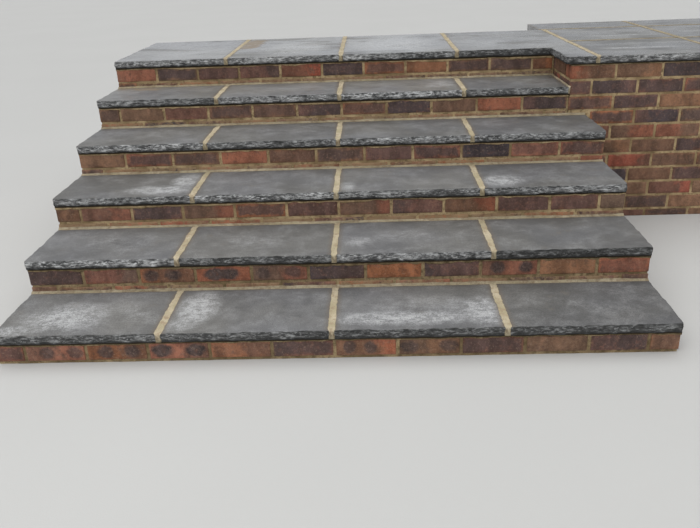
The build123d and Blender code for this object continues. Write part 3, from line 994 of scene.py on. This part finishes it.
def rough_prism(parts, corners, levels, spacing, recess, depth, seed, dirt_and_shade_levels=(0.0, 0.0), plain=()):
    """An upright solid over anticlockwise corners, its sides drawn in by recess and an uneven depth.

    The sides named in plain stay flat, and its dirt runs from the first given value at the lowest level to
    the second at the highest, painted shade where above 1.
    """
    count = len(corners)
    stations = []
    inwards = []
    for n in range(count):
        a, b, before = np.array(corners[n]), np.array(corners[(n + 1) % count]), np.array(corners[n - 1])
        way = (b - a) / np.linalg.norm(b - a)
        way_before = (a - before) / np.linalg.norm(a - before)
        normal = np.array((-way[1], way[0])) * (n not in plain)
        normal_before = np.array((-way_before[1], way_before[0])) * ((n - 1) % count not in plain)
        pieces = max(1, math.ceil(np.linalg.norm(b - a) / spacing)) if n not in plain else 1
        for m in range(pieces):
            stations.append(a + (b - a) * m / pieces)
            inwards.append(normal + normal_before if m == 0 else normal)
    stations, inwards = np.array(stations), np.array(inwards)
    total = len(stations)
    points = []
    for level in levels:
        sample = np.column_stack([stations, np.full(total, level)])
        rough = 0.65 * noise(sample, lump_size, seed) + 0.35 * noise(sample, grit_size, seed + 1)
        amount = recess + depth * rough
        points.append(np.column_stack([stations + inwards * amount[:, None], np.full(total, level)]))
    faces = []
    for r in range(len(levels) - 1):
        for s in range(total):
            n = (s + 1) % total
            faces.append((r * total + s, r * total + n, (r + 1) * total + n, (r + 1) * total + s))
    faces.append(tuple(range(total))[::-1])
    faces.append(tuple(range((len(levels) - 1) * total, len(levels) * total)))
    points = np.concatenate(points)
    parts.add(points, faces, dirt=np.repeat(np.linspace(*dirt_and_shade_levels, len(levels)), total))


def level_rows(low, high, spacing):
    return np.linspace(low, high, max(1, math.ceil((high - low) / spacing)) + 1).tolist()


core_spacing = 0.020
core_recess = 0.0030
core_depth = 0.0035
core = (core_spacing, core_recess, core_depth)


def make_mortar(node, corners, levels, seed, plain, dirt=0.05):
    parts = Parts()
    rough_prism(parts, corners, levels, *core, seed, (dirt, dirt), plain)
    make_piece(node, "mortar", parts, wall_mortar_look)


# Walls

side_gauge = (brick_top[2] - brick_top[1]) / 2
wall_gauge = brick_height + perpend
butt = 0.008
side_courses = 2 * treads + 1
terrace_top = brick_top[landing]
terrace_courses = math.ceil(terrace_top / wall_gauge)

# Which bricks a riser has, how much mortar is smeared over its cut course, and how dirty its joints are
low_steps = 2
low_riser = ("low risers", 0.38, 0.60)
high_riser = ("high risers", 0.44, 0.15)
least_smear = 0.06

# Sides of each wall that nothing can see, counted from the front one round to the left one
hidden_sides = {
    "retaining_wall": [2],
    "terrace_end_wall": [0, 2, 3],
    "terrace_back_wall": [0],
    "terrace_inner_wall": [0, 1, 2],
    "return_wall": [0, 1, 2],
    "landing_back_wall": [0, 1],
}


def corner_offset(owned):
    """A course starts at a corner it owns, and half a bond in from one that the other wall's brick owns."""
    return 0.0 if owned else half_bond


def make_risers():
    for step in range(1, landing + 1):
        node = f"riser_wall_{step}"
        low, high = risers[step]
        length = high.x - low.x
        mix, cut_smear, dirt = low_riser if step <= low_steps else high_riser
        work = Brickwork(200 + step, mix)
        for number in range(2 if step > 1 else 1):
            start = corner_offset((step + number) % 2 == 0)
            end = length - (butt if step >= treads else start)
            top = high.z - number * wall_gauge
            work.course((low.x, low.y), (1, 0), (0, 1), start, end, top, cut_smear * number + least_smear)
        work.build(node)
        visible = slab_low[step - 1] if step > 1 else 0.0
        levels = ([0.0] if step > 1 else []) + level_rows(visible, high.z, core_spacing)
        corners = rectangle(low.x, high.x, low.y, high.y)
        make_mortar(node, corners, levels, 300 + step, [1, 2] if step >= treads else [2], dirt)


def side_course(number):
    """Step whose riser a side wall's course starts at, and whether the side wall owns that corner."""
    step = (number + 1) // 2 + 1
    return step, (step + number) % 2 == 1


def make_side_walls():
    left = Brickwork(220)
    right = Brickwork(221)
    for number in range(side_courses):
        top = brick_top[1] + number * side_gauge
        step, owned = side_course(number)
        start = corner_offset(owned)
        end = landing_back - face[step] - corner_offset(number % 2 == 0)
        left.course((wall_left, face[step]), (0, 1), (1, 0), start, end, top)
        if step < treads:
            end = terrace_face - face[step] - butt
            right.course((wall_right, face[step]), (0, 1), (-1, 0), start, end, top)
    left.build("left_side_wall")
    right.build("right_side_wall")
    for node, low_x, high_x, outer_side, last in (
        ("left_side_wall", wall_left, wall_left + leaf, 3, landing),
        ("right_side_wall", wall_right - leaf, wall_right, 1, treads - 1),
    ):
        parts = Parts()
        plain = [n for n in range(4) if n != outer_side]
        for step in range(1, last + 1):
            back = landing_back - leaf if step == landing else face[step + 1]
            corners = rectangle(low_x, high_x, face[step] + leaf, back)
            levels = level_rows(0.0, brick_top[step], core_spacing)
            rough_prism(parts, corners, levels, *core, 320 + step, plain=plain)
        make_piece(node, "mortar", parts, wall_mortar_look)


def make_terrace_walls():
    end_x = end_high.x
    front_length = end_x - return_face
    end_length = terrace_back - terrace_face
    back_length = end_x - inner_face
    inner_length = terrace_back - landing_back
    return_length = face[landing] + leaf - terrace_face
    # Gap at a corner in even and in odd courses, where this wall's bricks reach it in the even ones, in the
    # odd ones or in all of them
    at_even = (0.0, half_bond)
    at_odd = (half_bond, 0.0)
    flush = (0.0, 0.0)
    # Node, corner that a wall starts at, way along it, way into it, its length, gaps at its start and end
    walls = (
        ("retaining_wall", (return_face, terrace_face), (1, 0), (0, 1), front_length, at_even, at_even),
        ("terrace_end_wall", (end_x, terrace_face), (0, 1), (-1, 0), end_length, at_odd, at_even),
        ("terrace_back_wall", (inner_face, terrace_back), (1, 0), (0, -1), back_length, at_even, at_odd),
        ("terrace_inner_wall", (inner_face, landing_back), (0, 1), (1, 0), inner_length, flush, at_odd),
        ("return_wall", (return_face, terrace_face), (0, 1), (1, 0), return_length, at_odd, flush),
    )
    for n, (node, origin, along, inward, length, starts, stops) in enumerate(walls):
        work = Brickwork(230 + n)
        for number in range(terrace_courses):
            top = terrace_top - number * wall_gauge
            if node != "return_wall" or top - brick_height > slab_low[treads] - wall_gauge:
                odd = number % 2
                work.course(origin, along, inward, starts[odd], length - stops[odd], top)
        work.build(node)
    work = Brickwork(240)
    end = inner_face - wall_left - butt
    for number in range(side_courses):
        top = brick_top[1] + number * side_gauge
        work.course((wall_left, landing_back), (1, 0), (0, -1), corner_offset(number % 2 == 1), end, top)
    work.build("landing_back_wall")
    for n, (node, plain) in enumerate(hidden_sides.items()):
        low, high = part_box(node)
        corners = rectangle(low.x, high.x, low.y, high.y)
        make_mortar(node, corners, level_rows(0.0, high.z, core_spacing), 340 + 2 * n, plain)


# Beds and pointing

# How far the beds are set back, how unevenly, and how dirty they are
low_beds = (0.004, 0.010, 0.60)
high_beds = (0.0005, 0.0040, 0.0)
bed_spacing = 0.012
bed_level_spacing = 0.004

# Dirt and near-black painted shade of the beds right under the slabs, and how far their mortar hangs over
# the bricks of each step
gap_dirt_and_shade = 2.2
droops = {1: 0.0055, 2: 0.0115, 3: 0.0115, 4: 0.0075, 5: 0.0115, 6: 0.0115}

# Squeezed mortar: distance between its rings, how proud it stands at least and how much more at most, how
# far behind the bricks' face it and its tongues end, where it turns above them, and gaps at its ends
strip_spacing = 0.010
least_proud = -0.0030
proud_range = 0.0055
bed_reach = 0.008
tongue_reach = 0.0035
bed_knees = (0.0032, 0.0008)
strip_gap = 0.001
return_gap = 0.002


def squeezed_bed(parts, left, right, front, low, high, seed, dirt, droop):
    """Mortar squeezed out of a bed at the front, in ragged tongues over the tops of the bricks below, with
    painted shade on its top right under the slab.
    """
    rings, dirt_and_shade_levels = [], []
    for x in np.linspace(left, right, math.ceil((right - left) / strip_spacing) + 1):
        spot = np.array([[x, front, low]])
        amount = 0.55 * noise(spot, 0.150, seed)[0] + 0.45 * noise(spot, 0.035, seed + 1)[0]
        amount = np.clip(3.0 * amount - 0.95, 0.0, 1.0)
        proud = least_proud + proud_range * amount
        hang = droop * amount * (0.5 + 0.8 * noise(spot, 0.022, seed + 2)[0])
        ring = [
            (front + bed_reach, high),
            (front - proud * 0.6, high),
            (front - proud, low + bed_knees[0]),
            (front - proud, low + bed_knees[1]),
            (front - proud * 0.6, low - hang * 0.75),
            (front + tongue_reach, low - hang),
            (front + bed_reach, low),
        ]
        rings.append([(x, y, z) for y, z in ring])
        foot = dirt + 0.25 * noise(spot, 0.110, seed + 3)[0]
        # Painted shade: the top of the squeezed mortar, right under the slab, goes near black
        dirt_and_shade_levels.append([gap_dirt_and_shade, gap_dirt_and_shade, 0.9 * gap_dirt_and_shade, foot, foot, foot, foot])
    swept(parts, rings, dirt_and_shade_levels)


def make_beds():
    parts = Parts()
    for step in range(1, landing + 1):
        low, high = brick_top[step], slab_low[step]
        levels = level_rows(low, high, bed_level_spacing)
        right = return_face if step == treads else wall_right
        if step < landing:
            corners = rectangle(wall_left, right, face[step], face[step + 1])
            plain = [2] + ([1] if step == treads else [])
        else:
            corners = [
                (wall_left, face[landing]),
                (return_face, face[landing]),
                (return_face, terrace_face),
                (end_high.x, terrace_face),
                (end_high.x, terrace_back),
                (inner_face, terrace_back),
                (inner_face, landing_back),
                (wall_left, landing_back),
            ]
            plain = []
        recess, depth, dirt = low_beds if step <= low_steps else high_beds
        # Dirtier towards the top, with near-black painted shade right under the slab
        dirt_and_shade_levels = (dirt + 0.3, gap_dirt_and_shade)
        rough_prism(parts, corners, levels, bed_spacing, recess, depth, 400 + 2 * step, dirt_and_shade_levels, plain)
        left = wall_left + strip_gap
        right = return_face - return_gap if step >= treads else wall_right
        squeezed_bed(parts, left, right, face[step], low, high, 440 + 5 * step, 1.1 * dirt, droops[step])
    make_piece("mortar_beds", "rough", parts, wall_mortar_look)


def swept(parts, rings, dirt):
    """A closed skin over a row of rings of points, with a face over each end."""
    rings = np.asarray(rings, float)
    stations, around = rings.shape[:2]
    faces = []
    for s in range(stations - 1):
        for a in range(around):
            b = (a + 1) % around
            faces.append((s * around + a, s * around + b, (s + 1) * around + b, (s + 1) * around + a))
    faces.append(tuple(range(around))[::-1])
    faces.append(tuple(range((stations - 1) * around, stations * around)))
    parts.add(rings.reshape(-1, 3), faces, dirt=np.asarray(dirt, float).reshape(-1))


# Pointing: how far it smears over the slabs in fine and broad waves and how much of that is trimmed off,
# how far its middle sinks, how it is rounded off at an open front, and where it starts behind the nosing
fine_smear = 0.0045
fine_smear_size = 0.012
broad_smear = 0.0050
broad_smear_size = 0.070
smear_trim = 0.0016
least_sink = 0.0006
sink_range = 0.0012
sink_size = 0.030
joint_spacing = 0.008
front_distances = (0.0, 0.0007, 0.0018, 0.0035, 0.006, 0.010)
rounded_reach = 0.006
rounded_fall = 0.0075
rounded_squeeze = 0.0040
dirty_reach = 0.014
hidden_spread = 0.004
joint_setback = 0.002

# How far below the tops of the slabs a smear of pointing has its edge, its ridge and its root, and how far
# above their undersides the pointing ends
smear_level = 0.0006
ridge_level = 0.0001
root_level = 0.0040
foot_level = 0.001

long_joint_dirt = 0.30
row_joint_dirt = 0.45


def pointed_joint(parts, start, end, width, top, bottom, seed, front_open=True, dirt=0.0):
    """Pointing in the gap between two slabs, smeared a little over both and rounded off at an open front."""
    start, end = np.array(start, float), np.array(end, float)
    length = np.linalg.norm(end - start)
    way = (end - start) / length
    side = np.array((-way[1], way[0]))
    distances = list(front_distances) if front_open else [0.0]
    count = max(2, math.ceil(length / joint_spacing))
    distances += np.linspace(distances[-1], length, count + 1)[1:].tolist()
    rings, dirt_and_shade_levels = [], []
    for d in distances:
        here = start + way * d
        spot = np.array([*here, 0.0])[None]
        tip = max(0.0, 1 - d / rounded_reach) if front_open else 0.0
        near = max(0.0, 1 - d / dirty_reach) if front_open else 0.0
        sink = least_sink + sink_range * noise(spot, sink_size, seed + 4)[0]
        fall = rounded_fall * tip**2
        squeeze = rounded_squeeze * tip**3
        reaches = []
        for n in (seed, seed + 2):
            fine = fine_smear * noise(spot, fine_smear_size, n)[0]
            smear = fine + broad_smear * noise(spot, broad_smear_size, n + 1)[0] - smear_trim
            reaches.append(width / 2 + smear * (1 - 0.5 * tip) - squeeze)
        left, right = reaches
        hidden = width / 2 - squeeze + hidden_spread * near
        section = [
            (-left, top - smear_level - fall),
            (-left * 0.72, top - ridge_level - fall * 0.8),
            (-left * 0.30, top - sink - fall * 0.7),
            (right * 0.30, top - sink * 0.9 - fall * 0.7),
            (right * 0.72, top - ridge_level - fall * 0.8),
            (right, top - smear_level - fall),
            (right * 0.92, top - root_level - fall * 0.6),
            (hidden, (top + bottom) / 2),
            (hidden * 0.9, bottom + foot_level),
            (-hidden * 0.9, bottom + foot_level),
            (-hidden, (top + bottom) / 2),
            (-left * 0.92, top - root_level - fall * 0.6),
        ]
        rings.append([(*(here + side * offset), z) for offset, z in section])
        dirt_and_shade_levels.append([dirt + 0.05 * near] * 6 + [dirt + 0.60 * near] * 6)
    swept(parts, rings, dirt_and_shade_levels)


# Fillets: how far they run into the riser, how deep they sit in the tread, and how thin they run out
fillet_root = 0.006
fillet_depth = 0.003
fillet_skin = 0.0004


def back_fillet(parts, left, right, back, level, seed):
    """The ragged mortar fillet where a tread meets the riser behind it."""
    rings, dirt_and_shade_levels = [], []
    for x in np.linspace(left, right, math.ceil((right - left) / strip_spacing) + 1):
        spot = np.array([[x, back, level]])
        reach = 0.0050 + 0.0045 * noise(spot, 0.030, seed)[0] + 0.0040 * noise(spot, 0.160, seed + 1)[0]
        height = 0.0030 + 0.0040 * noise(spot, 0.040, seed + 2)[0] + 0.0035 * noise(spot, 0.200, seed + 3)[0]
        ring = [
            (back + fillet_root, level - fillet_depth),
            (back + fillet_root, level + height),
            (back - fillet_skin, level + height),
            (back - reach * 0.40, level + height * 0.35),
            (back - reach, level - fillet_skin),
            (back - reach, level - fillet_depth),
        ]
        rings.append([(x, y, z) for y, z in ring])
        dirt_and_shade_levels.append([0.16 + 0.46 * noise(spot, 0.090, seed + 4)[0]] * 6)
    swept(parts, rings, dirt_and_shade_levels)


def slab_gap(first, second):
    """Middle of the joint between two slabs that lie side by side."""
    return (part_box(first)[1].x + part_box(second)[0].x) / 2


def make_pointing():
    parts = Parts()
    for step in range(1, treads + 1):
        top, low = slab_top[step], slab_low[step]
        for number in range(1, slabs_across):
            middle = slab_gap(f"tread_{step}_slab_{number}", f"tread_{step}_slab_{number + 1}")
            start = (middle, nose[step] + joint_setback)
            seed = 500 + 20 * step + 5 * number
            pointed_joint(parts, start, (middle, face[step + 1]), joint, top, low, seed)
        right = return_face if step == treads else wall_right
        back_fillet(parts, wall_left, right, face[step + 1], top, 600 + 5 * step)
    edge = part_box(f"tread_{treads}_slab_{slabs_across}")[1].x
    middle = (edge + return_face) / 2
    start, end = (middle, nose[treads] + 2 * joint_setback), (middle, face[landing])
    pointed_joint(parts, start, end, return_face - edge, slab_top[treads], slab_low[treads], 640)
    make_piece("tread_pointing", "mortar", parts, pointing_look)
    top, low = slab_top[landing], slab_low[landing]
    parts = Parts()
    for number in range(1, slabs_across):
        middle = slab_gap(f"landing_slab_{number}", f"landing_slab_{number + 1}")
        start = (middle, nose[landing] + joint_setback)
        pointed_joint(parts, start, (middle, landing_back), joint, top, low, 650 + 5 * number)
    make_piece("landing_pointing", "mortar", parts, pointing_look)
    parts = Parts()
    for bay in range(terrace_bays):
        middle = terrace_left + bay * terrace_pitch - joint / 2
        start = (middle, terrace_nose + joint_setback)
        end = (middle, terrace_back if bay else landing_back + joint / 2)
        dirt = long_joint_dirt if bay else 0.0
        pointed_joint(parts, start, end, joint, top, low, 670 + 5 * bay, dirt=dirt)
    for number in range(1, terrace_rows):
        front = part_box(f"terrace_row_{number}")[1].y
        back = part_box(f"terrace_row_{number + 1}")[0].y
        middle = (front + back) / 2
        start = (inner_face if number == terrace_rows - 1 else corner_right + joint / 2, middle)
        end = (terrace_right - side_chip, middle)
        pointed_joint(parts, start, end, back - front, top, low, 690 + 5 * number, False, row_joint_dirt)
    make_piece("terrace_pointing", "mortar", parts, pointing_look)


make_slabs()
make_risers()
make_side_walls()
make_terrace_walls()
make_beds()
make_pointing()

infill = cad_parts["infill"]
infill.data.materials.clear()
infill.data.materials.append(concrete)

# Studio

floor_size = 60.0
floor_mesh = bpy.data.meshes.new("studio_floor")
half = floor_size / 2
floor_points = [(x, y, 0) for x, y in rectangle(-half, half, -half, half)]
floor_mesh.from_pydata(floor_points, [], [(0, 1, 2, 3)])
floor_mesh.materials.append(floor_material())
floor = bpy.data.objects.new("studio_floor", floor_mesh)
bpy.context.scene.collection.objects.link(floor)

world = bpy.data.worlds.new("studio")
world.use_nodes = True
background = world.node_tree.nodes["Background"]
background.inputs["Color"].default_value = (0.93, 0.96, 1.0, 1.0)
direction = world.node_tree.nodes.new("ShaderNodeTexCoord")
height = world.node_tree.nodes.new("ShaderNodeSeparateXYZ")
glow = world.node_tree.nodes.new("ShaderNodeMapRange")
glow.interpolation_type = "SMOOTHSTEP"
for key, value in {"From Min": 0.0, "From Max": 0.45, "To Min": 0.66, "To Max": 0.36}.items():
    glow.inputs[key].default_value = value
world.node_tree.links.new(direction.outputs["Generated"], height.inputs[0])
world.node_tree.links.new(height.outputs[2], glow.inputs["Value"])
world.node_tree.links.new(glow.outputs[0], background.inputs["Strength"])
bpy.context.scene.world = world


def area_light(name, place, target, size, power, colour):
    data = bpy.data.lights.new(name, "AREA")
    data.shape = "SQUARE"
    data.size = size
    data.energy = power
    data.color = colour
    lamp = bpy.data.objects.new(name, data)
    lamp.location = place
    lamp.rotation_euler = (Vector(target) - Vector(place)).to_track_quat("-Z", "Y").to_euler()
    bpy.context.scene.collection.objects.link(lamp)


sky = bpy.data.lights.new("overhead", "SUN")
sky.energy = 2.35
sky.angle = math.radians(100)
sky.color = (1.0, 0.99, 0.97)
sky_lamp = bpy.data.objects.new("overhead", sky)
sky_lamp.rotation_euler = (math.radians(8), math.radians(-4), 0.0)
bpy.context.scene.collection.objects.link(sky_lamp)
area_light("front", (-3.5, -6.0, 3.6), (0.0, 0.0, 0.4), 4.5, 95.0, (1.0, 1.0, 1.0))

# Camera, as the photograph was taken

focal_length = 37.39
camera_yaw = math.radians(-2.184)
camera_pitch = math.radians(23.491)
camera_roll = math.radians(2.186)

# Camera from the middle of the first tread's nosing
camera_offset = (0.1604, -2.2432, 1.2292)
flight_middle = (flight_left + flight_right) / 2
forward = Vector(
    (
        math.sin(camera_yaw) * math.cos(camera_pitch),
        math.cos(camera_yaw) * math.cos(camera_pitch),
        -math.sin(camera_pitch),
    )
)
level_right = Vector((math.cos(camera_yaw), -math.sin(camera_yaw), 0.0))
level_down = forward.cross(level_right)
right_way = math.cos(camera_roll) * level_right + math.sin(camera_roll) * level_down
down_way = math.cos(camera_roll) * level_down - math.sin(camera_roll) * level_right
lens = bpy.data.cameras.new("photo_camera")
lens.sensor_fit = "HORIZONTAL"
lens.sensor_width = 36.0
lens.lens = focal_length
lens.clip_end = 200.0
camera = bpy.data.objects.new("photo_camera", lens)
turned = Matrix((right_way, -down_way, -forward)).transposed().to_4x4()
nose_middle = (flight_middle, nose[1], slab_top[1])
place = Vector([near + away for near, away in zip(nose_middle, camera_offset)])
camera.matrix_world = Matrix.Translation(place) @ turned
bpy.context.scene.collection.objects.link(camera)
bpy.context.scene.camera = camera
bpy.context.scene.view_settings.view_transform = "Standard"

bpy.context.view_layer.update()
